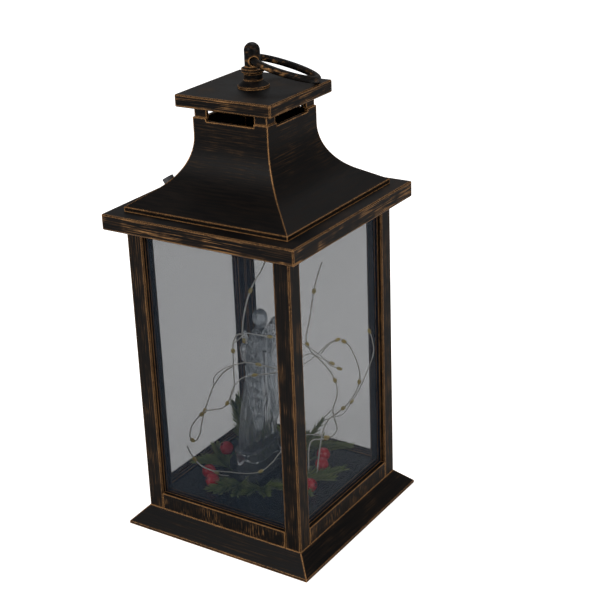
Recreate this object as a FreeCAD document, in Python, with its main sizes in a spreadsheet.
import FreeCAD, Part
import math
import os
import Sketcher
from FreeCAD import Placement, Rotation, Vector

# Square tabletop lantern, battery powered, with a clear figure, pine, berries and wire lights.
# Millimetres, +Z up.  Origin: centre of the underside.  -Y is the front face, +X the right one.

doc = FreeCAD.newDocument("Lantern")

# ---------------------------------------------------------------- driving sizes
SIZES = [
    ("body_width", 110.0), ("frame_height", 181.4), ("post_width", 10.7), ("post_chamfer", 0.7),
    ("rail_height", 10.7), ("rail_depth", 7.7), ("head_rail_height", 4.2),
    ("rail_ledge", 2.2), ("ledge_thickness", 2.4),
    ("pane_thickness", 1.5), ("pane_recess", 3.2), ("pane_grip", 2.2), ("pane_clearance", 0.15),
    ("plinth_width", 129.0), ("plinth_height", 11.2), ("plinth_edge", 1.6), ("plinth_wall", 2.4),
    ("plinth_deck", 2.8), ("foot_gap", 0.4),
    ("floor_thickness", 1.6), ("floor_drop", 1.3), ("part_clearance", 0.2),
    ("eave_width", 129.0), ("eave_thickness", 9.5), ("ceiling_thickness", 2.5), ("eave_edge", 0.6),
    ("roof_step", 2.7), ("roof_top_width", 50.0), ("roof_rise", 48.3), ("roof_flare", 35.0),
    ("roof_slope", 32.0), ("roof_wall", 2.0),
    ("neck_width", 48.4), ("neck_height", 6.6), ("neck_wall", 2.0), ("vent_length", 32.0),
    ("vent_drop", 1.8), ("vent_header", 1.6),
    ("cap_width", 63.6), ("cap_thickness", 7.2), ("cap_edge", 0.6),
    ("finial_foot_radius", 9.0), ("finial_foot_height", 1.2), ("finial_cone_height", 3.2),
    ("finial_neck_radius", 5.3), ("finial_neck_height", 3.6), ("finial_collar_radius", 6.5),
    ("finial_collar_height", 3.8), ("finial_post_radius", 4.5), ("finial_post_height", 8.8),
    ("ring_hole_height", 15.2), ("ring_radius", 19.3), ("ring_wire", 4.1), ("ring_clearance", 0.25),
    ("ring_direction", 45.0),
    ("battery_diameter", 14.2), ("battery_length", 50.5), ("battery_nub", 1.2),
    ("battery_nub_radius", 2.75), ("battery_spacing", 14.6), ("battery_play", 0.15),
    ("contact_spring_height", 4.2), ("contact_plate_thickness", 0.4),
    ("box_wall", 1.4), ("cover_thickness", 2.6), ("pad_thickness", 1.0),
    ("pad_radius", 6.0), ("pad_inset", 18.5), ("door_pin_radius", 0.7), ("door_gap", 0.3),
    ("door_thickness", 2.4), ("door_notch_radius", 9.0), ("door_pin_reach", 2.5), ("pin_clearance", 0.05),
    ("screw_head_radius", 2.3), ("screw_head_height", 1.5), ("screw_shank_radius", 1.25),
    ("screw_length", 9.0), ("finial_screw_length", 15.0), ("finial_screw_head", 3.7),
    ("boss_radius", 3.2), ("roof_boss_inset", 15.0), ("bore_margin", 2.0),
    ("button_radius", 3.4), ("button_stand", 4.0), ("button_travel", 1.2), ("button_offset", 25.0),
    ("button_inset", 44.0), ("button_stem_radius", 1.6), ("button_clearance", 0.1),
    ("button_stem_length", 1.8),
    ("switch_width", 9.0), ("switch_depth", 6.0),
    ("board_length", 42.0), ("board_width", 30.0), ("board_thickness", 1.6), ("board_lift", 3.0),
    ("board_shift", 10.0), ("standoff_radius", 2.0), ("standoff_inset", 3.0), ("light_hole_shift", 4.0),
    ("lead_hole_radius", 2.0), ("lead_radius", 0.9), ("lead_inset", 2.4), ("lead_slant", 6.15),
    ("lead_bend", 11.1),
    ("puck_height", 6.0), ("block_depth", 17.0), ("block_width", 35.0), ("block_height", 14.0),
    ("block_corner", 6.0), ("puck_step", 1.0), ("figure_back", 9.7), ("figure_height", 90.0), ("wing_span", 42.0),
    ("wing_thickness", 3.2), ("berry_radius", 4.4), ("stem_radius", 0.6), ("light_wire_radius", 0.45),
    ("bead_radius", 1.25), ("bead_length", 3.6),
]

sizes = doc.addObject("Spreadsheet::Sheet", "Sizes")
for row, (alias, value) in enumerate(SIZES, start=1):
    sizes.set("A%d" % row, alias)
    sizes.set("B%d" % row, "%g" % value)
    sizes.setAlias("B%d" % row, alias)
doc.recompute()

# ---------------------------------------------------------------- levels worked out from them
LEVELS = [
    ("body_half", "Sizes.body_width / 2"),
    ("post_inner", "body_half - Sizes.post_width"),
    ("post_centre", "body_half - Sizes.post_width / 2"),
    ("plinth_half", "Sizes.plinth_width / 2"),
    ("plinth_top", "Sizes.foot_gap + Sizes.plinth_height"),
    ("deck_under", "plinth_top - Sizes.plinth_deck"),
    ("rail_top", "plinth_top + Sizes.rail_height"),
    ("rail_inner", "body_half - Sizes.rail_depth"),
    ("frame_top", "plinth_top + Sizes.frame_height"),
    ("head_rail_under", "frame_top - Sizes.head_rail_height"),
    ("pane_outer", "body_half - Sizes.pane_recess"),
    ("pane_inner", "pane_outer - Sizes.pane_thickness"),
    ("groove_outer", "pane_outer + Sizes.pane_clearance"),
    ("groove_inner", "pane_inner - Sizes.pane_clearance"),
    ("groove_depth", "Sizes.pane_grip + 2 * Sizes.pane_clearance"),
    ("pane_half", "post_inner + Sizes.pane_grip"),
    ("pane_bottom", "rail_top - groove_depth"),
    ("pane_top", "head_rail_under + Sizes.pane_grip - Sizes.pane_clearance"),
    ("floor_top", "rail_top - Sizes.floor_drop"),
    ("floor_under", "floor_top - Sizes.floor_thickness"),
    ("floor_half", "rail_inner - Sizes.part_clearance"),
    ("eave_half", "Sizes.eave_width / 2"),
    ("eave_top", "frame_top + Sizes.eave_thickness"),
    ("ceiling_top", "frame_top + Sizes.ceiling_thickness"),
    ("tray_half", "body_half - Sizes.roof_wall - Sizes.pane_clearance * 4"),
    ("roof_foot", "eave_top + Sizes.roof_step"),
    ("roof_top", "roof_foot + Sizes.roof_rise"),
    ("roof_top_half", "Sizes.roof_top_width / 2"),
    ("flare_end", "roof_top_half + Sizes.roof_flare * (1 - sin(Sizes.roof_slope))"),
    ("flare_end_level", "roof_foot + (body_half - flare_end) * tan(Sizes.roof_slope)"),
    ("flare_start_level", "flare_end_level + Sizes.roof_flare * cos(Sizes.roof_slope)"),
    ("flare_centre", "roof_top_half + Sizes.roof_flare"),
    ("inner_top_half", "roof_top_half - Sizes.roof_wall"),
    ("inner_foot_half", "body_half - Sizes.roof_wall"),
    ("inner_flare", "Sizes.roof_flare + Sizes.roof_wall"),
    ("inner_end", "flare_end - Sizes.roof_wall * sin(Sizes.roof_slope)"),
    ("inner_end_level", "flare_end_level - Sizes.roof_wall * cos(Sizes.roof_slope)"),
    ("inner_foot_level", "inner_end_level - (inner_foot_half - inner_end) * tan(Sizes.roof_slope)"),
    ("neck_half", "Sizes.neck_width / 2"),
    ("neck_top", "roof_top + Sizes.neck_height"),
    ("vent_under", "roof_top - Sizes.vent_drop"),
    ("cap_half", "Sizes.cap_width / 2"),
    ("cap_top", "neck_top + Sizes.cap_thickness"),
    ("foot_level", "cap_top + Sizes.finial_foot_height"),
    ("cone_level", "foot_level + Sizes.finial_cone_height"),
    ("collar_level", "cone_level + Sizes.finial_neck_height"),
    ("collar_top", "collar_level + Sizes.finial_collar_height"),
    ("collar_edge", "Sizes.finial_collar_height / 4"),
    ("dome_level", "collar_top + Sizes.finial_post_height"),
    ("hole_level", "cap_top + Sizes.ring_hole_height"),
    ("ring_sag", "Sizes.ring_radius - sqrt(Sizes.ring_radius ^ 2 - Sizes.finial_post_radius ^ 2)"),
    ("ring_reach", "Sizes.ring_radius - ring_sag / 2"),
    ("ring_hole", "Sizes.ring_wire / 2 + ring_sag / 2 + Sizes.ring_clearance"),
    ("ring_drop", "Sizes.ring_hole_height - Sizes.ring_wire / 2 - Sizes.ring_clearance"),
    ("ring_tilt", "asin(ring_drop / (ring_reach + Sizes.ring_radius))"),
    ("bay_half", "Sizes.battery_spacing + Sizes.battery_diameter / 2 + Sizes.battery_play"),
    ("bay_end", "(Sizes.battery_length + Sizes.contact_spring_height) / 2 + Sizes.contact_plate_thickness"),
    ("bay_roof", "battery_level + Sizes.battery_diameter / 2 + Sizes.battery_play"),
    ("cover_top", "Sizes.pad_thickness + Sizes.cover_thickness"),
    ("hollow_half_low", "plinth_half - Sizes.plinth_wall"),
    ("hollow_half_high", "body_half - Sizes.plinth_wall / 2"),
    ("hollow_lean", "(hollow_half_low - hollow_half_high) / (deck_under - Sizes.foot_gap)"),
    ("cover_half", "hollow_half_low - (cover_top - Sizes.foot_gap) * hollow_lean - Sizes.part_clearance"),
    ("door_pin_level", "Sizes.pad_thickness + Sizes.door_thickness / 2"),
    ("battery_level", "cover_top + Sizes.battery_diameter / 2 + Sizes.battery_play"),
    ("board_under", "ceiling_top + Sizes.board_lift"),
    ("puck_top", "floor_top + Sizes.puck_height"),
    ("block_top", "puck_top + Sizes.block_height"),
]

levels = doc.addObject("Spreadsheet::Sheet", "Levels")
for row, (alias, formula) in enumerate(LEVELS, start=1):
    levels.setAlias("B%d" % row, alias)
for row, (alias, formula) in enumerate(LEVELS, start=1):
    levels.set("A%d" % row, alias)
    levels.set("B%d" % row, "=" + formula)
doc.recompute()


def size(alias):
    return float(getattr(sizes, alias))


def level(alias):
    return float(getattr(levels, alias))


def number(signed):
    """The value of a name from the levels or sizes, with a leading minus allowed."""
    if signed.startswith("-"):
        return -number(signed[1:])
    sheet, alias = signed.split(".")
    return size(alias) if sheet == "Sizes" else level(alias)


nodes = []


def keep(label, feature):
    feature.Label = label
    nodes.append(feature)
    return feature


# ---------------------------------------------------------------- ways of making a piece
def move(feature, x, y, z):
    """Bind the three coordinates of a feature's place."""
    for axis, formula in zip("xyz", (x, y, z)):
        feature.setExpression("Placement.Base." + axis, formula)
    return feature


def block(name, x, y, z, length, width, height):
    """A box whose lowest corner is at x, y, z."""
    box = doc.addObject("Part::Box", name)
    for prop, formula in (("Length", length), ("Width", width), ("Height", height)):
        box.setExpression(prop, formula)
    return move(box, x, y, z)


def rod(name, x, y, z, radius, height, turn=None):
    """A cylinder from x, y, z along +Z, or turned to another axis."""
    cylinder = doc.addObject("Part::Cylinder", name)
    cylinder.setExpression("Radius", radius)
    cylinder.setExpression("Height", height)
    if turn is not None:
        cylinder.Placement = Placement(Vector(), turn)
    return move(cylinder, x, y, z)


def cut(name, base, tools):
    """The base less each of the tools."""
    tool = tools[0] if len(tools) == 1 else fuse(name + "Tools", tools)
    result = doc.addObject("Part::Cut", name)
    result.Base = base
    result.Tool = tool
    return result


def fuse(name, shapes):
    result = doc.addObject("Part::MultiFuse", name)
    result.Shapes = shapes
    result.Refine = True
    return result


def group(name, shapes):
    """Separate solids that share one node."""
    result = doc.addObject("Part::Compound", name)
    result.Links = shapes
    return result


def outline(body, name, role, points, arcs=None, height=None):
    """A closed sketch through points given as formulas; arcs maps an edge to its radius and centre."""
    arcs = arcs or {}
    plane = [item for item in body.Origin.OriginFeatures if item.Role == role][0]
    sketch = body.newObject("Sketcher::SketchObject", name)
    sketch.AttachmentSupport = [(plane, "")]
    sketch.MapMode = "FlatFace"
    if height:
        sketch.setExpression("AttachmentOffset.Base.z", height)
    count = len(points)
    if arcs:
        start = [Vector(number(x), number(y), 0) for x, y in points]
    else:
        turn = 2 * math.pi / count
        start = [Vector(50 * math.cos(k * turn), 50 * math.sin(k * turn), 0) for k in range(count)]
    for k in range(count):
        a, b = start[k], start[(k + 1) % count]
        if k in arcs:
            radius = arcs[k][0]
            middle = (a + b) * 0.5
            across = Vector(a.y - b.y, b.x - a.x, 0)
            half = across.Length / 2
            deep = number(radius) - math.sqrt(number(radius) ** 2 - half ** 2)
            sketch.addGeometry(Part.Arc(a, middle + across * (deep / across.Length), b), False)
        else:
            sketch.addGeometry(Part.LineSegment(a, b), False)
    ends = []
    for k in range(count):
        forward = (sketch.getPoint(k, 1) - start[k]).Length < 1e-6
        ends.append((1, 2) if forward else (2, 1))
    for k in range(count):
        following = (k + 1) % count
        sketch.addConstraint(Sketcher.Constraint("Coincident", k, ends[k][1], following, ends[following][0]))
    for k, (x, y) in enumerate(points):
        for kind, formula, value in (("DistanceX", x, start[k].x), ("DistanceY", y, start[k].y)):
            index = sketch.addConstraint(Sketcher.Constraint(kind, -1, 1, k, ends[k][0], value))
            sketch.setExpression("Constraints[%d]" % index, formula)
    for k, (radius, centre) in arcs.items():
        index = sketch.addConstraint(Sketcher.Constraint("DistanceX", -1, 1, k, 3, number(centre)))
        sketch.setExpression("Constraints[%d]" % index, centre)
    return sketch


def square(body, name, half, height=None, other=None):
    """A centred rectangle, half by other, on the horizontal plane at a height."""
    other = other or half
    points = [("-(%s)" % half, "-(%s)" % other), (half, "-(%s)" % other), (half, other),
              ("-(%s)" % half, other)]
    return outline(body, name, "XY_Plane", points, height=height)


def pad(body, name, sketch, length, midplane=False):
    feature = body.newObject("PartDesign::Pad", name)
    feature.Profile = sketch
    feature.Midplane = midplane
    feature.setExpression("Length", length)
    sketch.Visibility = False
    return feature


def pocket(body, name, sketch, length, upward=False):
    """A pocket that runs down from its sketch, or up."""
    feature = body.newObject("PartDesign::Pocket", name)
    feature.Profile = sketch
    feature.Reversed = upward
    feature.setExpression("Length", length)
    return feature


def new_body(name):
    return doc.addObject("PartDesign::Body", name)


def bevel(body, name, base, edges, amount):
    feature = body.newObject("PartDesign::Chamfer", name)
    feature.Base = (base, edges)
    feature.setExpression("Size", amount)
    return feature


def outer_edges(shape, test):
    return ["Edge%d" % (k + 1) for k, edge in enumerate(shape.Edges) if test(edge)]


TURN_X = Rotation(Vector(0, 1, 0), 90)
TURN_Y = Rotation(Vector(1, 0, 0), -90)
CORNERS = [("front_left", -1, -1), ("front_right", 1, -1), ("back_right", 1, 1), ("back_left", -1, 1)]
SIDES = [("front", 0), ("right", 90), ("back", 180), ("left", 270)]


def signed(sign, formula):
    return formula if sign > 0 else "-(%s)" % formula


def low(sign, near, far):
    """The lower of two coordinates mirrored to a side of the axis."""
    return near if sign > 0 else "-(%s)" % far


# ---------------------------------------------------------------- plinth: flared hollow base
plinth_body = new_body("PlinthBody")
edge_sketch = square(plinth_body, "PlinthEdgeSketch", "Levels.plinth_half", "Sizes.foot_gap")
edge_pad = pad(plinth_body, "PlinthEdge", edge_sketch, "Sizes.plinth_edge")
low_square = square(plinth_body, "PlinthLow", "Levels.plinth_half", "Sizes.foot_gap + Sizes.plinth_edge")
high_square = square(plinth_body, "PlinthHigh", "Levels.body_half", "Levels.plinth_top")
plinth_flare = plinth_body.newObject("PartDesign::AdditiveLoft", "PlinthFlare")
plinth_flare.Profile = low_square
plinth_flare.Sections = [high_square]
plinth_flare.Ruled = True
hollow_low = square(plinth_body, "HollowLow", "Levels.hollow_half_low", "Sizes.foot_gap")
hollow_high = square(plinth_body, "HollowHigh", "Levels.hollow_half_high",
                     "Levels.deck_under")
plinth_hollow = plinth_body.newObject("PartDesign::SubtractiveLoft", "PlinthHollow")
plinth_hollow.Profile = hollow_low
plinth_hollow.Sections = [hollow_high]
plinth_hollow.Ruled = True
bay_opening = square(plinth_body, "BayOpening", "Levels.bay_half + Sizes.box_wall + Sizes.part_clearance",
                     "Levels.plinth_top", "Levels.bay_end + Sizes.box_wall + Sizes.part_clearance")
pocket(plinth_body, "BayCut", bay_opening, "Sizes.plinth_deck")

COVER_BOSS = "Levels.body_half - Sizes.boss_radius - Sizes.plinth_wall"
bosses = []
boss_bores = []
for sign in (-1, 1):
    for axis in "XY":
        place = signed(sign, COVER_BOSS)
        x, y = (place, "0") if axis == "X" else ("0", place)
        tag = "%s%d" % (axis, sign + 1)
        bosses.append(rod("CoverBoss" + tag, x, y, "Levels.cover_top", "Sizes.boss_radius",
                          "Levels.deck_under - Levels.cover_top"))
        boss_bores.append(rod("CoverBore" + tag, x, y, "Levels.cover_top", "Sizes.screw_shank_radius",
                              "Sizes.screw_length - Sizes.cover_thickness + Sizes.screw_head_height"))
post_bores = []
for name, sx, sy in CORNERS:
    post_bores.append(rod("PlinthBore_" + name, signed(sx, "Levels.post_centre"),
                          signed(sy, "Levels.post_centre"), "Levels.deck_under",
                          "Sizes.screw_shank_radius", "Sizes.plinth_deck"))
LEAD_SPOT = "Levels.post_inner + Sizes.lead_inset"
LEAD_BORE = "Sizes.lead_radius + Sizes.part_clearance"


def lead_bore(name, z, height):
    """The bore that the supply lead takes through the back left corner."""
    return rod(name, "-(%s)" % LEAD_SPOT, LEAD_SPOT, z, LEAD_BORE, height)


plinth_solid = fuse("PlinthSolid", [plinth_body] + bosses)
plinth_tools = boss_bores + post_bores + [lead_bore("PlinthLeadBore", "Levels.deck_under",
                                                    "Sizes.plinth_deck")]
keep("plinth", cut("Plinth", plinth_solid, plinth_tools))

# ---------------------------------------------------------------- corner posts and rails
def chamfered_post(name, sx, sy):
    """A square post with its four long edges taken off, and a groove on each inner side."""
    body = new_body("Post_" + name)
    x0, x1 = ("Levels.post_inner", "Levels.body_half")
    y0, y1 = ("Levels.post_inner", "Levels.body_half")
    c = "Sizes.post_chamfer"
    corner = [(x0 + " + " + c, y0), (x1 + " - " + c, y0), (x1, y0 + " + " + c), (x1, y1 + " - " + c),
              (x1 + " - " + c, y1), (x0 + " + " + c, y1), (x0, y1 + " - " + c), (x0, y0 + " + " + c)]
    points = [(signed(sx, x), signed(sy, y)) for x, y in corner]
    pad(body, "PostPad_" + name, outline(body, "PostSketch_" + name, "XY_Plane", points,
                                         height="Levels.plinth_top"), "Sizes.frame_height")
    depth = "Levels.groove_depth"
    wide = "Levels.groove_outer - Levels.groove_inner"
    tall = "Levels.frame_top - Levels.rail_top + 2 * " + depth
    start = "Levels.rail_top - " + depth
    groove_x = block("GrooveX_" + name, low(sx, "Levels.post_inner", "Levels.post_inner + " + depth),
                     low(sy, "Levels.groove_inner", "Levels.groove_outer"), start, depth, wide, tall)
    groove_y = block("GrooveY_" + name, low(sx, "Levels.groove_inner", "Levels.groove_outer"),
                     low(sy, "Levels.post_inner", "Levels.post_inner + " + depth), start, wide, depth, tall)
    tools = [groove_x, groove_y]
    for end, z in (("Low", "Levels.plinth_top"),
                   ("High", "Levels.frame_top - Sizes.screw_length + Sizes.ceiling_thickness")):
        deep = "Sizes.screw_length - Sizes.%s" % ("plinth_deck" if end == "Low" else "ceiling_thickness")
        tools.append(rod("PostBore%s_%s" % (end, name), signed(sx, "Levels.post_centre"),
                         signed(sy, "Levels.post_centre"), z, "Sizes.screw_shank_radius", deep))
    if name == "back_left":
        tools.append(lead_bore("PostLeadBore", "Levels.plinth_top", "Sizes.frame_height"))
    return cut("PostCut_" + name, body, tools)


for name, sx, sy in CORNERS:
    keep("post_" + name, chamfered_post(name, sx, sy))


def rail(name, angle, bottom, top, groove_level, ledge):
    """A rail between two posts with a groove for the pane and, low down, a ledge for the floor."""
    length = "2 * Levels.post_inner"
    body = new_body("RailBody_" + name)
    outer, inner = "-Levels.body_half", "-Levels.rail_inner"
    points = [(outer, bottom), (inner, bottom)]
    if ledge:
        ledge_end = inner + " + Sizes.rail_ledge"
        points += [(inner, "Levels.floor_under - Sizes.ledge_thickness"),
                   (ledge_end, "Levels.floor_under - Sizes.ledge_thickness"),
                   (ledge_end, "Levels.floor_under"), (inner, "Levels.floor_under")]
    points += [(inner, top)]
    open_top = groove_level == "top"
    edge = top if open_top else bottom
    deep = edge + (" - " if open_top else " + ") + "Levels.groove_depth"
    notch = [("-Levels.groove_inner", edge), ("-Levels.groove_inner", deep),
             ("-Levels.groove_outer", deep), ("-Levels.groove_outer", edge)]
    points = points + notch + [(outer, top)] if open_top else [points[0]] + notch[::-1] + points[1:] + [
        (outer, top)]
    profile = outline(body, "RailSketch_" + name, "YZ_Plane", points)
    pad(body, "RailPad_" + name, profile, length, midplane=True)
    body.Placement = Placement(Vector(), Rotation(Vector(0, 0, 1), angle))
    return body


for name, angle in SIDES:
    keep("lower_rail_" + name, rail("lower_" + name, angle, "Levels.plinth_top", "Levels.rail_top", "top", True))
for name, angle in SIDES:
    keep("upper_rail_" + name, rail("upper_" + name, angle, "Levels.head_rail_under", "Levels.frame_top",
                                    "bottom", False))

# ---------------------------------------------------------------- clear panes
for name, angle in SIDES:
    pane = new_body("PaneBody_" + name)
    points = [("-Levels.pane_half", "Levels.pane_bottom"), ("Levels.pane_half", "Levels.pane_bottom"),
              ("Levels.pane_half", "Levels.pane_top"), ("-Levels.pane_half", "Levels.pane_top")]
    sheet = outline(pane, "PaneSketch_" + name, "XZ_Plane", points, height="Levels.pane_inner")
    pad(pane, "PanePad_" + name, sheet, "Sizes.pane_thickness")
    pane.Placement = Placement(Vector(), Rotation(Vector(0, 0, 1), angle))
    keep("pane_" + name, pane)

# ---------------------------------------------------------------- inner floor deck
floor_body = new_body("FloorBody")
pad(floor_body, "FloorPad", square(floor_body, "FloorSketch", "Levels.floor_half", "Levels.floor_under"),
    "Sizes.floor_thickness")
floor_notches = []
for name, sx, sy in CORNERS:
    edge = "Levels.post_inner - Sizes.part_clearance"
    span = "Levels.body_half - Levels.post_inner"
    floor_notches.append(block("FloorNotch_" + name, low(sx, edge, edge + " + " + span),
                               low(sy, edge, edge + " + " + span), "Levels.floor_under", span, span,
                               "Sizes.floor_thickness"))
keep("inner_floor", cut("FloorCut", floor_body, floor_notches))

# ---------------------------------------------------------------- underside: cover, pads, door
cover_body = new_body("CoverBody")
pad(cover_body, "CoverPad", square(cover_body, "CoverSketch", "Levels.cover_half", "Sizes.pad_thickness"),
    "Sizes.cover_thickness")
door_cut = square(cover_body, "DoorOpening", "Levels.bay_half", "Levels.cover_top", "Levels.bay_end")
pocket(cover_body, "DoorCut", door_cut, "Sizes.cover_thickness")
cover_tools = []
for sign in (-1, 1):
    for axis in "XY":
        place = signed(sign, COVER_BOSS)
        x, y = (place, "0") if axis == "X" else ("0", place)
        tag = "%s%d" % (axis, sign + 1)
        cover_tools.append(rod("CoverHole" + tag, x, y, "Sizes.pad_thickness", "Sizes.screw_shank_radius",
                               "Sizes.cover_thickness"))
        cover_tools.append(rod("CoverSink" + tag, x, y, "Sizes.pad_thickness", "Sizes.screw_head_radius",
                               "Sizes.screw_head_height"))
DOOR_PIN_Y = "Levels.bay_end - Sizes.door_gap - Sizes.door_thickness / 2"
PIN_END = "Levels.bay_half + Sizes.door_pin_reach"
cover_tools.append(rod("CoverPinBore", "-(%s)" % PIN_END, DOOR_PIN_Y, "Levels.door_pin_level",
                       "Sizes.door_pin_radius + Sizes.pin_clearance", "2 * (%s)" % PIN_END, TURN_X))
cover_tools.append(rod("FingerNotch", "0", "-(Levels.bay_end)", "Sizes.pad_thickness",
                       "Sizes.door_notch_radius", "Sizes.cover_thickness"))
cover_cut = cut("CoverCut", cover_body, cover_tools)
keep("bottom_cover", cover_cut)

door_half = "Levels.bay_half - Sizes.door_gap"
door_slab = block("DoorSlab", "-(%s)" % door_half, "-(Levels.bay_end - Sizes.door_gap)",
                  "Sizes.pad_thickness", "2 * (%s)" % door_half,
                  "%s + Levels.bay_end - Sizes.door_gap" % DOOR_PIN_Y, "Sizes.door_thickness")
door_end = rod("DoorEnd", "-(%s)" % door_half, DOOR_PIN_Y, "Levels.door_pin_level",
               "Sizes.door_thickness / 2", "2 * (%s)" % door_half, TURN_X)
door_pin = rod("DoorPin", "Sizes.door_gap - (%s)" % PIN_END, DOOR_PIN_Y, "Levels.door_pin_level",
               "Sizes.door_pin_radius", "2 * (%s - Sizes.door_gap)" % PIN_END, TURN_X)
keep("battery_door", fuse("DoorSolid", [door_slab, door_end, door_pin]))

pads = []
for name, sx, sy in CORNERS:
    spot = "Levels.plinth_half - Sizes.pad_inset"
    pads.append(rod("Pad_" + name, signed(sx, spot), signed(sy, spot), "0", "Sizes.pad_radius",
                    "Sizes.pad_thickness"))
keep("foot_pads", group("FootPads", pads))

# ---------------------------------------------------------------- battery box, cells, contacts
box_outer = block("BoxOuter", "-(Levels.bay_half + Sizes.box_wall)", "-(Levels.bay_end + Sizes.box_wall)",
                  "Levels.cover_top", "2 * (Levels.bay_half + Sizes.box_wall)",
                  "2 * (Levels.bay_end + Sizes.box_wall)", "Levels.floor_under - Levels.cover_top")
box_inner = block("BoxInner", "-Levels.bay_half", "-Levels.bay_end", "Levels.cover_top",
                  "2 * Levels.bay_half", "2 * Levels.bay_end", "Levels.bay_roof - Levels.cover_top")
keep("battery_box", cut("BatteryBox", box_outer, [box_inner]))

cells = []
springs = []
plates = []
for k in (-1, 0, 1):
    turned = k == 0
    x = "%d * Sizes.battery_spacing" % k
    sleeve = "Sizes.battery_length - Sizes.battery_nub"
    plus_end = "-(Levels.bay_end - Sizes.contact_plate_thickness)"
    way = 1 if not turned else -1
    can_start = plus_end + " + Sizes.battery_nub" if way > 0 else (
        "-(%s + Sizes.battery_nub) - (%s)" % (plus_end, sleeve))
    nub_start = plus_end if way > 0 else "-(%s) - Sizes.battery_nub" % plus_end
    can = rod("Cell%d" % (k + 1), x, can_start, "Levels.battery_level", "Sizes.battery_diameter / 2",
              sleeve, TURN_Y)
    nub = rod("Nub%d" % (k + 1), x, nub_start, "Levels.battery_level", "Sizes.battery_nub_radius",
              "Sizes.battery_nub", TURN_Y)
    cells.append(fuse("Battery%d" % (k + 1), [can, nub]))
    spring = doc.addObject("Part::Cone", "ContactCone%d" % (k + 1))
    spring.setExpression("Radius1", "Sizes.battery_nub_radius" if way > 0 else "Sizes.battery_nub_radius * 1.6")
    spring.setExpression("Radius2", "Sizes.battery_nub_radius * 1.6" if way > 0 else "Sizes.battery_nub_radius")
    spring.setExpression("Height", "Sizes.contact_spring_height")
    spring.Placement = Placement(Vector(), TURN_Y)
    spring_start = "%s + Sizes.battery_length" % plus_end if way > 0 else (
        "-(%s + Sizes.battery_length + Sizes.contact_spring_height)" % plus_end)
    move(spring, x, spring_start, "Levels.battery_level")
    springs.append(spring)
    for sign in (-1, 1):
        edge = "Levels.bay_end - Sizes.contact_plate_thickness" if sign > 0 else "-Levels.bay_end"
        plates.append(block("Plate%d_%d" % (k + 1, sign + 1), "%s - Sizes.battery_diameter / 3" % x, edge,
                            "Levels.battery_level - Sizes.battery_diameter / 3",
                            "Sizes.battery_diameter * 2 / 3", "Sizes.contact_plate_thickness",
                            "Sizes.battery_diameter * 2 / 3"))
keep("batteries", group("Batteries", cells))
keep("contact_springs", group("ContactSprings", springs))
keep("contact_plates", group("ContactPlates", plates))

# ---------------------------------------------------------------- eave: square tray over the posts
eave_body = new_body("EaveBody")
eave_pad = pad(eave_body, "EavePad", square(eave_body, "EaveSketch", "Levels.eave_half", "Levels.frame_top"),
               "Sizes.eave_thickness")
doc.recompute()
rim = level("eave_half") - 1e-4
bevel(eave_body, "EaveBevel", eave_pad, outer_edges(eave_pad.Shape, lambda e: max(
    abs(e.CenterOfMass.x), abs(e.CenterOfMass.y)) > rim), "Sizes.eave_edge")
tray = square(eave_body, "TraySketch", "Levels.tray_half", "Levels.eave_top")
pocket(eave_body, "TrayPocket", tray, "Sizes.eave_thickness - Sizes.ceiling_thickness")
eave_tools = []
ROOF_BOSS = "Levels.body_half - Sizes.roof_boss_inset"
for name, sx, sy in CORNERS:
    eave_tools.append(rod("EaveBore_" + name, signed(sx, "Levels.post_centre"),
                          signed(sy, "Levels.post_centre"), "Levels.frame_top",
                          "Sizes.screw_shank_radius", "Sizes.ceiling_thickness"))
    eave_tools.append(rod("EaveRoofBore_" + name, signed(sx, ROOF_BOSS), signed(sy, ROOF_BOSS),
                          "Levels.frame_top", "Sizes.screw_shank_radius", "Sizes.ceiling_thickness"))
eave_tools.append(rod("LightHole", "Sizes.light_hole_shift", "0", "Levels.frame_top",
                      "Sizes.lead_hole_radius", "Sizes.ceiling_thickness"))
eave_tools.append(lead_bore("EaveLeadBore", "Levels.frame_top", "Sizes.ceiling_thickness"))
keep("eave_plate", cut("EavePlate", eave_body, eave_tools))

# ---------------------------------------------------------------- roof: four hollow flared faces
def hip(name, points, arcs, half):
    """The solid that two crossed runs of one profile share: four faces that meet on mitred hips."""
    runs = []
    for role in ("XZ_Plane", "YZ_Plane"):
        body = new_body("%s_%s" % (name, role[:2]))
        profile = outline(body, "%sSketch_%s" % (name, role[:2]), role, points, arcs)
        pad(body, "%sPad_%s" % (name, role[:2]), profile, "2 * " + half, midplane=True)
        runs.append(body)
    common = doc.addObject("Part::MultiCommon", name)
    common.Shapes = runs
    return common


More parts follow.
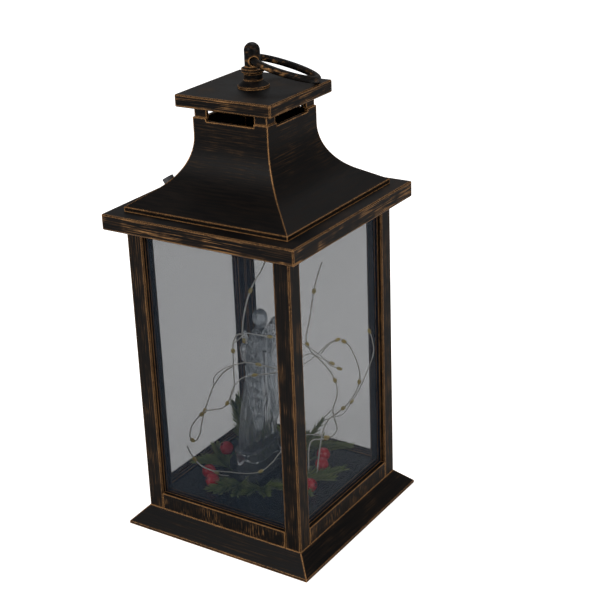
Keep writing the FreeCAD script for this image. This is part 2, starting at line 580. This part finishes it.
roof_points = [
    ("-Levels.body_half", "Levels.eave_top"), ("Levels.body_half", "Levels.eave_top"),
    ("Levels.body_half", "Levels.roof_foot"), ("Levels.flare_end", "Levels.flare_end_level"),
    ("Levels.roof_top_half", "Levels.flare_start_level"), ("Levels.roof_top_half", "Levels.roof_top"),
    ("-Levels.roof_top_half", "Levels.roof_top"), ("-Levels.roof_top_half", "Levels.flare_start_level"),
    ("-Levels.flare_end", "Levels.flare_end_level"), ("-Levels.body_half", "Levels.roof_foot")]
outer_arcs = {3: ("Sizes.roof_flare", "Levels.flare_centre"),
              7: ("Sizes.roof_flare", "-Levels.flare_centre")}
inner_arcs = {3: ("Levels.inner_flare", "Levels.flare_centre"),
              7: ("Levels.inner_flare", "-Levels.flare_centre")}
roof_outer = hip("RoofOuter", roof_points, outer_arcs, "Levels.body_half")
hollow_points = [
    ("-Levels.inner_foot_half", "Levels.eave_top"), ("Levels.inner_foot_half", "Levels.eave_top"),
    ("Levels.inner_foot_half", "Levels.inner_foot_level"), ("Levels.inner_end", "Levels.inner_end_level"),
    ("Levels.inner_top_half", "Levels.flare_start_level"), ("Levels.inner_top_half", "Levels.roof_top"),
    ("-Levels.inner_top_half", "Levels.roof_top"), ("-Levels.inner_top_half", "Levels.flare_start_level"),
    ("-Levels.inner_end", "Levels.inner_end_level"), ("-Levels.inner_foot_half", "Levels.inner_foot_level")]
roof_hollow = hip("RoofHollow", hollow_points, inner_arcs, "Levels.inner_foot_half")
roof_skin = cut("RoofSkin", roof_outer, [roof_hollow])

roof_bosses = []
roof_tools = []
for name, sx, sy in CORNERS:
    x, y = signed(sx, ROOF_BOSS), signed(sy, ROOF_BOSS)
    roof_bosses.append(rod("RoofBoss_" + name, x, y, "Levels.ceiling_top", "Sizes.boss_radius",
                           "Levels.flare_end_level - Levels.ceiling_top"))
    roof_tools.append(rod("RoofBossBore_" + name, x, y, "Levels.ceiling_top", "Sizes.screw_shank_radius",
                          "Sizes.screw_length - Sizes.ceiling_thickness"))
boss_limit = hip("RoofBossLimit", [(x, y.replace("eave_top", "ceiling_top")) for x, y in roof_points],
                 outer_arcs, "Levels.body_half")
boss_trim = doc.addObject("Part::MultiCommon", "RoofBosses")
boss_trim.Shapes = [fuse("RoofBossRods", roof_bosses), boss_limit]


def vents(name):
    """Two crossed bars that open one slot in the middle of each of the four sides."""
    span = "Sizes.roof_top_width + Sizes.bore_margin"
    tall = "Levels.neck_top - Sizes.vent_header - Levels.vent_under"
    along = block(name + "X", "-(%s) / 2" % span, "-Sizes.vent_length / 2", "Levels.vent_under", span,
                  "Sizes.vent_length", tall)
    across = block(name + "Y", "-Sizes.vent_length / 2", "-(%s) / 2" % span, "Levels.vent_under",
                   "Sizes.vent_length", span, tall)
    return [along, across]


# ---------------------------------------------------------------- roof push button on the left face
button_axis = Rotation(Vector(0, 1, 0), -size("roof_slope"))
roof_normal = button_axis.multVec(Vector(0, 0, 1))
BUTTON_Z = "Levels.roof_foot + (Levels.body_half - Sizes.button_inset) * tan(Sizes.roof_slope)"


def on_button_axis(name, radius, height, along):
    """A cylinder on the button's own line, square to the roof face, starting at a distance along it."""
    rod_on_axis = rod(name, "-Sizes.button_inset - (%s) * sin(Sizes.roof_slope)" % along,
                      "-Sizes.button_offset", "%s + (%s) * cos(Sizes.roof_slope)" % (BUTTON_Z, along),
                      radius, height, button_axis)
    return rod_on_axis


roof_tools.append(on_button_axis("ButtonBore", "Sizes.button_radius + Sizes.button_clearance",
                                 "2 * (Sizes.roof_wall + Sizes.bore_margin)",
                                 "-Sizes.roof_wall - Sizes.bore_margin"))
roof_tools += vents("RoofVent")
keep("roof_shell", cut("RoofShell", fuse("RoofSolid", [roof_skin, boss_trim]), roof_tools))

COLLAR_LEVEL = "Sizes.roof_wall + Sizes.button_travel"
button_head = on_button_axis("ButtonHead", "Sizes.button_radius",
                             "Sizes.button_stand + %s" % COLLAR_LEVEL, "-(%s)" % COLLAR_LEVEL)
button_stem = on_button_axis("ButtonStem", "Sizes.button_stem_radius", "Sizes.button_stem_length",
                             "-(%s) - Sizes.button_stem_length" % COLLAR_LEVEL)
keep("roof_button", fuse("RoofButton", [button_head, button_stem]))

SWITCH_TOP = "-(%s) - Sizes.button_travel - Sizes.button_clearance" % COLLAR_LEVEL
switch_solid = block("SwitchSolid", "-Sizes.switch_width / 2", "-Sizes.switch_width / 2",
                     "-Sizes.switch_depth", "Sizes.switch_width", "Sizes.switch_width", "Sizes.switch_depth")
switch_bore = rod("SwitchBore", "0", "0", "-Sizes.button_stem_length",
                  "Sizes.button_stem_radius + Sizes.button_clearance", "Sizes.button_stem_length")
switch_stand = block("SwitchStand", "-Sizes.button_inset - (%s) * sin(Sizes.roof_slope)" % SWITCH_TOP,
                     "-Sizes.button_offset - Sizes.switch_width / 2", "Levels.ceiling_top",
                     "Sizes.switch_width / 2", "Sizes.switch_width",
                     "%s + (%s - Sizes.switch_depth) * cos(Sizes.roof_slope) - Levels.ceiling_top" % (
                         BUTTON_Z, SWITCH_TOP))
switch_body = cut("SwitchBody", switch_solid, [switch_bore])
switch_body.Placement = Placement(Vector(), button_axis)
move(switch_body, "-Sizes.button_inset - (%s) * sin(Sizes.roof_slope)" % SWITCH_TOP,
     "-Sizes.button_offset", "%s + (%s) * cos(Sizes.roof_slope)" % (BUTTON_Z, SWITCH_TOP))
keep("timer_switch", fuse("TimerSwitch", [switch_body, switch_stand]))

# ---------------------------------------------------------------- neck with its four vent slots
neck_body = new_body("NeckBody")
pad(neck_body, "NeckPad", square(neck_body, "NeckSketch", "Levels.neck_half", "Levels.roof_top"),
    "Sizes.neck_height")
pocket(neck_body, "NeckHollow", square(neck_body, "NeckHollowSketch", "Levels.neck_half - Sizes.neck_wall",
                                       "Levels.neck_top"), "Sizes.neck_height")

# ---------------------------------------------------------------- cap: thick square plate
cap_body = new_body("CapBody")
cap_pad = pad(cap_body, "CapPad", square(cap_body, "CapSketch", "Levels.cap_half", "Levels.neck_top"),
              "Sizes.cap_thickness")
doc.recompute()
cap_rim = level("cap_half") - 1e-4
bevel(cap_body, "CapBevel", cap_pad, outer_edges(cap_pad.Shape, lambda e: max(
    abs(e.CenterOfMass.x), abs(e.CenterOfMass.y)) > cap_rim), "Sizes.cap_edge")
cap_bore = rod("CapBore", "0", "0", "Levels.neck_top", "Sizes.screw_shank_radius", "Sizes.cap_thickness")
keep("cap", cut("Cap", cap_body, [cap_bore]))

keep("vent_neck", cut("VentNeck", neck_body, vents("NeckVent")))

# ---------------------------------------------------------------- finial, its screw and the carry ring
finial_body = new_body("FinialBody")
finial_points = [
    ("0", "Levels.cap_top"), ("Sizes.finial_foot_radius", "Levels.cap_top"),
    ("Sizes.finial_foot_radius", "Levels.foot_level"), ("Sizes.finial_neck_radius", "Levels.cone_level"),
    ("Sizes.finial_neck_radius", "Levels.collar_level"),
    ("Sizes.finial_collar_radius", "Levels.collar_level + Levels.collar_edge"),
    ("Sizes.finial_collar_radius", "Levels.collar_top - Levels.collar_edge"),
    ("Sizes.finial_post_radius", "Levels.collar_top"), ("Sizes.finial_post_radius", "Levels.dome_level"),
    ("0", "Levels.dome_level")]
finial_profile = outline(finial_body, "FinialSketch", "XZ_Plane", finial_points)
turned_finial = finial_body.newObject("PartDesign::Revolution", "FinialTurning")
turned_finial.Profile = finial_profile
turned_finial.ReferenceAxis = (finial_profile, ["V_Axis"])
turned_finial.Angle = 360
dome = doc.addObject("Part::Sphere", "FinialDome")
dome.setExpression("Radius", "Sizes.finial_post_radius")
move(dome, "0", "0", "Levels.dome_level")
finial_solid = fuse("FinialSolid", [finial_body, dome])
hole_turn = Rotation(Vector(0, 0, 1), size("ring_direction")) * TURN_Y
ring_bore = rod("RingBore", "Sizes.finial_foot_radius * sin(Sizes.ring_direction)",
                "-Sizes.finial_foot_radius * cos(Sizes.ring_direction)", "Levels.hole_level",
                "Levels.ring_hole", "2 * Sizes.finial_foot_radius", hole_turn)
finial_thread = rod("FinialThread", "0", "0", "Levels.cap_top", "Sizes.screw_shank_radius",
                    "Sizes.finial_screw_length - Sizes.cap_thickness")
keep("finial", cut("Finial", finial_solid, [ring_bore, finial_thread]))

ring = doc.addObject("Part::Torus", "CarryRing")
ring.setExpression("Radius1", "Sizes.ring_radius")
ring.setExpression("Radius2", "Sizes.ring_wire / 2")
heading = math.radians(size("ring_direction"))
across_ring = Vector(-math.sin(heading), math.cos(heading), 0)
ring.Placement = Placement(Vector(), Rotation(across_ring, level("ring_tilt")))
move(ring, "Levels.ring_reach * cos(Levels.ring_tilt) * cos(Sizes.ring_direction)",
     "Levels.ring_reach * cos(Levels.ring_tilt) * sin(Sizes.ring_direction)",
     "Levels.hole_level - Levels.ring_reach * sin(Levels.ring_tilt)")
keep("carry_ring", ring)

# ---------------------------------------------------------------- screws, as groups
def screw(name, x, y, z, up):
    """A pan-head screw: its head's seat is at z and its shank runs up or down from there."""
    shank_z = z if up else "%s - Sizes.screw_length" % z
    head_z = "%s - Sizes.screw_head_height" % z if up else z
    shank = rod(name + "Shank", x, y, shank_z, "Sizes.screw_shank_radius", "Sizes.screw_length")
    head = rod(name + "Head", x, y, head_z, "Sizes.screw_head_radius", "Sizes.screw_head_height")
    return fuse(name, [shank, head])


def corner_screws(name, inset, z, up):
    return group(name, [screw("%s_%s" % (name, corner), signed(sx, inset), signed(sy, inset), z, up)
                        for corner, sx, sy in CORNERS])


keep("post_screws_lower", corner_screws("PostScrewsLower", "Levels.post_centre", "Levels.deck_under", True))
keep("post_screws_upper", corner_screws("PostScrewsUpper", "Levels.post_centre", "Levels.ceiling_top", False))
keep("roof_screws", corner_screws("RoofScrews", ROOF_BOSS, "Levels.frame_top", True))
cover_screws = []
for sign in (-1, 1):
    for axis in "XY":
        place = signed(sign, COVER_BOSS)
        x, y = (place, "0") if axis == "X" else ("0", place)
        cover_screws.append(screw("CoverScrew%s%d" % (axis, sign + 1), x, y,
                                  "Sizes.pad_thickness + Sizes.screw_head_height", True))
keep("cover_screws", group("CoverScrews", cover_screws))
finial_shank = rod("FinialShank", "0", "0", "Levels.neck_top", "Sizes.screw_shank_radius",
                   "Sizes.finial_screw_length")
finial_head = rod("FinialHead", "0", "0", "Levels.neck_top - Sizes.screw_head_height",
                  "Sizes.finial_screw_head", "Sizes.screw_head_height")
keep("finial_screw", fuse("FinialScrew", [finial_shank, finial_head]))

# ---------------------------------------------------------------- control board on its standoffs
board_x = "-Sizes.board_shift"
board = block("Board", "%s - Sizes.board_length / 2" % board_x, "-Sizes.board_width / 2",
              "Levels.board_under", "Sizes.board_length", "Sizes.board_width", "Sizes.board_thickness")
keep("control_board", board)
standoffs = []
for name, sx, sy in CORNERS:
    x = signed(sx, "Sizes.board_length / 2 - Sizes.standoff_inset")
    y = signed(sy, "Sizes.board_width / 2 - Sizes.standoff_inset")
    standoffs.append(rod("Standoff_" + name, "%s + %s" % (board_x, x), y, "Levels.ceiling_top",
                         "Sizes.standoff_radius", "Sizes.board_lift"))
keep("board_standoffs", group("BoardStandoffs", standoffs))


# ---------------------------------------------------------------- clear figure on its block and puck
def solid(name, label, shape):
    """A piece whose shape is worked out here from the sheet's sizes."""
    feature = doc.addObject("Part::Feature", name)
    feature.Shape = shape
    feature.Placement = Placement()
    return keep(label, feature)


def rounded_block(name, label, depth, width, bottom, height, corner):
    """An upright block with rounded corners, standing where the figure stands."""
    body = new_body(name + "Body")
    base = pad(body, name + "Pad", square(body, name + "Sketch", depth, bottom, width), height)
    doc.recompute()
    upright = outer_edges(base.Shape, lambda e: abs(e.Vertexes[0].Point.z - e.Vertexes[-1].Point.z) > 1)
    rounding = body.newObject("PartDesign::Fillet", name + "Corners")
    rounding.Base = (base, upright)
    rounding.setExpression("Radius", corner)
    move(body, "-Sizes.figure_back", "0", "0")
    return keep(label, body)


rounded_block("Puck", "figure_puck", "Sizes.block_depth / 2 - Sizes.puck_step",
              "Sizes.block_width / 2 - Sizes.puck_step", "Levels.floor_top", "Sizes.puck_height",
              "Sizes.block_corner - Sizes.puck_step")
rounded_block("ClearBlock", "figure_block", "Sizes.block_depth / 2", "Sizes.block_width / 2",
              "Levels.puck_top", "Sizes.block_height", "Sizes.block_corner")


def ellipse(x, z, deep, wide):
    """A level ellipse about x, 0, z: deep along X, wide along Y, its longer axis found by size."""
    centre = Vector(x, 0, z)
    long_end, short_end = Vector(x, wide, z), Vector(x + deep, 0, z)
    if deep > wide:
        long_end, short_end = short_end, long_end
    return Part.Wire(Part.Edge(Part.Ellipse(long_end, short_end, centre)))


# Share of the figure's height, half depth, half width and how far its middle has come forward,
# from the hem up to the neck.
ROBE = [(0.0, 8.0, 17.0, 0.0), (0.22, 7.6, 16.0, 0.4), (0.42, 6.8, 13.5, 1.4), (0.6, 5.6, 10.5, 2.8),
        (0.74, 4.6, 8.2, 4.0), (0.84, 3.6, 6.4, 4.8), (0.9, 2.2, 3.0, 5.2)]
tall = size("figure_height")
figure_base = level("block_top")
robe_rings = [ellipse(lean - size("figure_back"), figure_base + share * tall, deep, wide)
              for share, deep, wide, lean in ROBE]
robe = Part.makeLoft(robe_rings, True, False)
head_radius = tall * 0.062
head_x = ROBE[-1][3] - size("figure_back")
head = Part.makeSphere(head_radius, Vector(head_x, 0, figure_base + tall - head_radius))


def wing(side):
    """A swept wing: an upright leaf of lines and arcs, given its thickness along X."""
    reach = side * size("wing_span") / 2
    root = side * 3.0
    z = [figure_base + tall * share for share in (0.62, 0.8, 0.93, 0.7, 0.4, 0.14)]
    corner = [Vector(0, root, z[0]), Vector(0, root, z[1]), Vector(0, reach * 0.75, z[2]),
              Vector(0, reach, z[3]), Vector(0, reach * 0.8, z[4]), Vector(0, reach * 0.55, z[5])]
    top = Part.Arc(corner[1], Vector(0, reach * 0.45, z[2] - 1.5), corner[2]).toShape()
    outer = Part.Arc(corner[2], Vector(0, reach * 1.0, (z[2] + z[3]) / 2 + 2), corner[3]).toShape()
    edges = [Part.LineSegment(corner[0], corner[1]).toShape(), top, outer,
             Part.LineSegment(corner[3], corner[4]).toShape(),
             Part.LineSegment(corner[4], corner[5]).toShape(),
             Part.LineSegment(corner[5], corner[0]).toShape()]
    leaf = Part.Face(Part.Wire(edges)).extrude(Vector(size("wing_thickness"), 0, 0))
    leaf.translate(Vector(head_x + 2.0, 0, 0))
    return leaf


figure_shape = robe.fuse([head, wing(-1), wing(1)]).removeSplitter()
solid("Figure", "clear_figure", figure_shape)


# ---------------------------------------------------------------- berries and pine round the foot
def berry(root, centre):
    """A round berry on its wire stem: one outline, turned about the line from root to berry."""
    start = Vector(*root)
    middle = Vector(*centre)
    along = (middle - start).normalize()
    across = along.cross(Vector(0.3, 0.2, 1)).normalize()
    radius = size("berry_radius")
    thin = size("stem_radius")
    seat = middle - along * math.sqrt(radius ** 2 - thin ** 2) + across * thin
    edge = start + across * thin
    pole = middle + along * radius
    edges = [Part.LineSegment(start, edge).toShape(), Part.LineSegment(edge, seat).toShape(),
             Part.Arc(seat, middle + across * radius, pole).toShape(),
             Part.LineSegment(pole, start).toShape()]
    return Part.Face(Part.Wire(edges)).revolve(start, along, 360)


ground = level("floor_top")
lift = size("berry_radius")
twig = size("stem_radius")
blunt = 0.8
BERRIES = {
    "berries_left": [((-20.6, -23.8, ground + twig), (-32.0, -23.4, ground + lift)),
                     ((-19.2, -25.8, ground + twig), (-23.7, -31.3, ground + lift))],
    "berries_right": [((9.0, 9.0, ground + twig), (20.4, 27.0, ground + lift + 1.6)),
                      ((11.0, 7.4, ground + twig), (24.7, 18.3, ground + lift)),
                      ((17.0, -9.0, ground + twig), (31.8, -7.1, ground + lift))],
    "berry_back": [((-24.0, 3.0, ground + twig), (-31.2, -4.8, ground + 12.0))],
}
for label, picks in BERRIES.items():
    solid(label.title(), label, Part.makeCompound([berry(root, centre) for root, centre in picks]))

# Each pine sprig is a slim spindle of needles: name, stem end, tip and half thickness.
SPRIGS = [
    ("pine_sprig_front", (-9.0, -20.5, 4.2), (-13.0, -40.0, 6.0), 4.6),
    ("pine_sprig_corner", (4.5, -19.0, 4.6), (20.0, -37.0, 6.0), 4.8),
    ("pine_sprig_left", (-23.5, -11.0, 4.4), (-45.5, -12.0, 5.4), 4.6),
    ("pine_sprig_tall_left", (-24.5, 12.0, 0.2), (-30.0, 9.0, 42.0), 5.2),
    ("pine_sprig_tall_right", (8.0, 15.0, 0.2), (14.0, 13.0, 38.0), 5.2),
    ("pine_sprig_right", (10.0, -4.5, 4.6), (38.0, 7.0, 5.6), 4.8),
    ("pine_sprig_back", (-10.0, 20.5, 4.4), (-16.0, 43.0, 6.2), 4.8),
    ("pine_sprig_far", (2.0, 27.0, 4.4), (10.0, 44.0, 5.4), 4.6),
]


def spindle(stem_end, tip, half):
    """A bowed line from stem end to tip, blunt at both, turned about the line between them."""
    start = Vector(stem_end[0], stem_end[1], ground + stem_end[2])
    end = Vector(tip[0], tip[1], ground + tip[2])
    along = end - start
    across = along.cross(Vector(0.3, 0.2, 1)).normalize()
    bow = Part.BSplineCurve()
    bow.interpolate([start + along * t + across * max(blunt, 4 * half * t * (1 - t))
                     for t in (0, 0.2, 0.4, 0.6, 0.8, 1)])
    rim = [start, start + across * blunt, end + across * blunt, end]
    edges = [Part.LineSegment(rim[0], rim[1]).toShape(), bow.toShape(),
             Part.LineSegment(rim[2], rim[3]).toShape(), Part.LineSegment(rim[3], rim[0]).toShape()]
    return Part.Face(Part.Wire(edges)).revolve(start, along, 360)


for label, stem_end, tip, half in SPRIGS:
    solid(label.title(), label, spindle(stem_end, tip, half))


# ---------------------------------------------------------------- wires: straight runs and tangent arcs
def tube(points, radius, share=0.45):
    """A round wire along the points, each corner rounded by an arc that uses a share of its runs."""
    route = [Vector(*point) for point in points]
    edges = []
    start = route[0]
    for before, corner, after in zip(route, route[1:], route[2:]):
        back, ahead = before - corner, after - corner
        reach = share * min(back.Length, ahead.Length)
        a = corner + back * (reach / back.Length)
        b = corner + ahead * (reach / ahead.Length)
        half_turn = (math.pi - back.getAngle(ahead)) / 2
        bisector = (back * (1 / back.Length) + ahead * (1 / ahead.Length)).normalize()
        bend = reach / math.tan(half_turn)
        middle = corner + bisector * (bend / math.cos(half_turn) - bend)
        edges.append(Part.LineSegment(start, a).toShape())
        edges.append(Part.Arc(a, middle, b).toShape())
        start = b
    edges.append(Part.LineSegment(start, route[-1]).toShape())
    path = Part.Wire(edges)
    ring_at_start = Part.Wire(Part.Circle(route[0], route[1] - route[0], radius).toShape())
    pipe = path.makePipeShell([ring_at_start], True, False)
    ideal = math.pi * radius ** 2 * path.Length
    print("tube volume %.2f of %.2f, length %.1f" % (pipe.Volume, ideal, path.Length))
    return pipe


board_under = level("board_under")
shelf = level("frame_top")
wire_radius = size("light_wire_radius")
LIGHT_WIRES = {
    "light_wire_main": [
        (4.0, 0.0, board_under), (4.0, 0.0, shelf - 6), (6.0, -1.5, 173.0), (3.5, -4.5, 161.0),
        (-1.0, -8.5, 152.5), (-3.5, -12.5, 143.0), (-4.5, -16.5, 131.0), (-3.0, -20.5, 121.5),
        (1.5, -22.5, 119.0), (1.5, -22.5, 124.5), (-5.0, -22.5, 124.5), (-9.5, -21.5, 116.5),
        (-10.5, -20.0, 106.5), (-12.5, -18.0, 95.5), (-12.5, -17.5, 86.5), (-15.5, -18.5, 78.0),
        (-19.5, -20.5, 71.0), (-25.5, -22.5, 69.5), (-31.0, -24.0, 68.0), (-36.0, -26.0, 63.0),
        (-40.0, -28.5, 56.5), (-40.5, -29.5, 49.5), (-37.5, -28.0, 46.5), (-35.0, -26.0, 51.5),
        (-33.5, -24.5, 62.0), (-30.5, -22.5, 73.0), (-26.5, -20.0, 85.0), (-20.5, -17.0, 94.0),
        (-14.0, -15.5, 98.5)],
    "light_wire_low": [
        (-41.5, -31.5, 44.5), (-40.0, -29.5, 37.5), (-36.5, -28.5, 32.5), (-31.5, -29.0, 31.0),
        (-27.5, -25.5, 28.0), (-24.5, -21.5, 23.5), (-22.5, -16.5, ground + wire_radius)],
    "light_wire_right": [
        (21.0, 8.5, ground + wire_radius), (20.5, 10.0, 38.0), (21.0, 12.5, 44.5), (26.0, 16.5, 44.0),
        (31.0, 20.5, 45.0), (34.0, 23.5, 49.5), (32.5, 22.5, 56.0), (31.5, 21.5, 64.0),
        (34.0, 23.5, 71.5), (34.5, 23.5, 79.0), (32.0, 22.0, 88.0), (26.5, 18.5, 97.0),
        (21.0, 14.5, 104.0), (19.0, 13.5, 112.0), (21.5, 15.0, 123.0), (23.0, 16.5, 136.0),
        (25.0, 18.0, 148.5), (28.5, 20.0, 160.5)],
    "light_wire_far": [
        (25.5, 10.5, ground + wire_radius), (25.0, 16.0, 38.0), (25.5, 19.5, 49.0), (28.5, 21.5, 56.5),
        (33.5, 25.0, 60.5), (39.5, 27.5, 67.0), (44.0, 31.5, 76.0), (45.5, 33.0, 86.0),
        (43.5, 31.0, 97.0), (40.5, 28.0, 107.0), (36.0, 24.5, 111.0), (30.5, 21.0, 107.5),
        (26.5, 19.0, 101.5)],
}
wires = {}
for label, points in LIGHT_WIRES.items():
    wires[label] = solid(label.title(), label, tube(points, wire_radius)).Shape

BEADS = {"light_wire_main": (4, 7, 11, 15, 18, 21, 24), "light_wire_low": (1, 4),
         "light_wire_right": (3, 9, 12, 15), "light_wire_far": (4, 6, 9)}
beads = []
for label, runs in BEADS.items():
    for run in runs:
        start, end = (Vector(*LIGHT_WIRES[label][k]) for k in (run, run + 1))
        drop = Part.makeSphere(size("bead_radius"))
        stretch = FreeCAD.Matrix()
        stretch.scale(1, 1, size("bead_length") / (2 * size("bead_radius")))
        drop = drop.transformGeometry(stretch)
        drop.Placement = Placement((start + end) * 0.5, Rotation(Vector(0, 0, 1), end - start))
        drop = drop.cut(wires[label])
        beads.append(max(drop.Solids, key=lambda piece: piece.Volume))
solid("LightBeads", "light_beads", Part.makeCompound(beads))

# The supply lead: out of the battery box, under the deck, up the back left post, over to the board.
box_side = level("bay_half") + size("box_wall")
spot = level("post_inner") + size("lead_inset")
slant = size("lead_slant")
under_deck = level("cover_top") + 1.3
over_tray = level("ceiling_top") + 5.0
board_end = size("board_shift") + size("board_length") / 2
board_middle = board_under + size("board_thickness") / 2
LEAD = [(-box_side, 16.0, under_deck), (-29.0, 16.0, under_deck), (-36.0, 25.0, under_deck),
        (slant - spot, spot - slant, under_deck), (-spot, spot, under_deck), (-spot, spot, over_tray),
        (-spot - 0.8, spot - size("lead_bend"), over_tray), (-42.0, 12.0, over_tray - 0.6),
        (-37.0, 6.0, board_middle), (-board_end, 6.0, board_middle)]
solid("SupplyLead", "supply_lead", tube(LEAD, size("lead_radius")))

# ---------------------------------------------------------------- checks and files
doc.recompute()
for item in doc.Objects:
    assert not {"Invalid", "Error"} & set(item.State), (item.Name, item.State)
for node in nodes:
    shape = node.Shape
    assert not shape.isNull() and shape.isValid() and shape.Volume > 0, node.Label
os.makedirs("parts", exist_ok=True)
for node in nodes:
    node.Shape.exportStep("parts/%s.step" % node.Label)
print(len(nodes), "pieces")
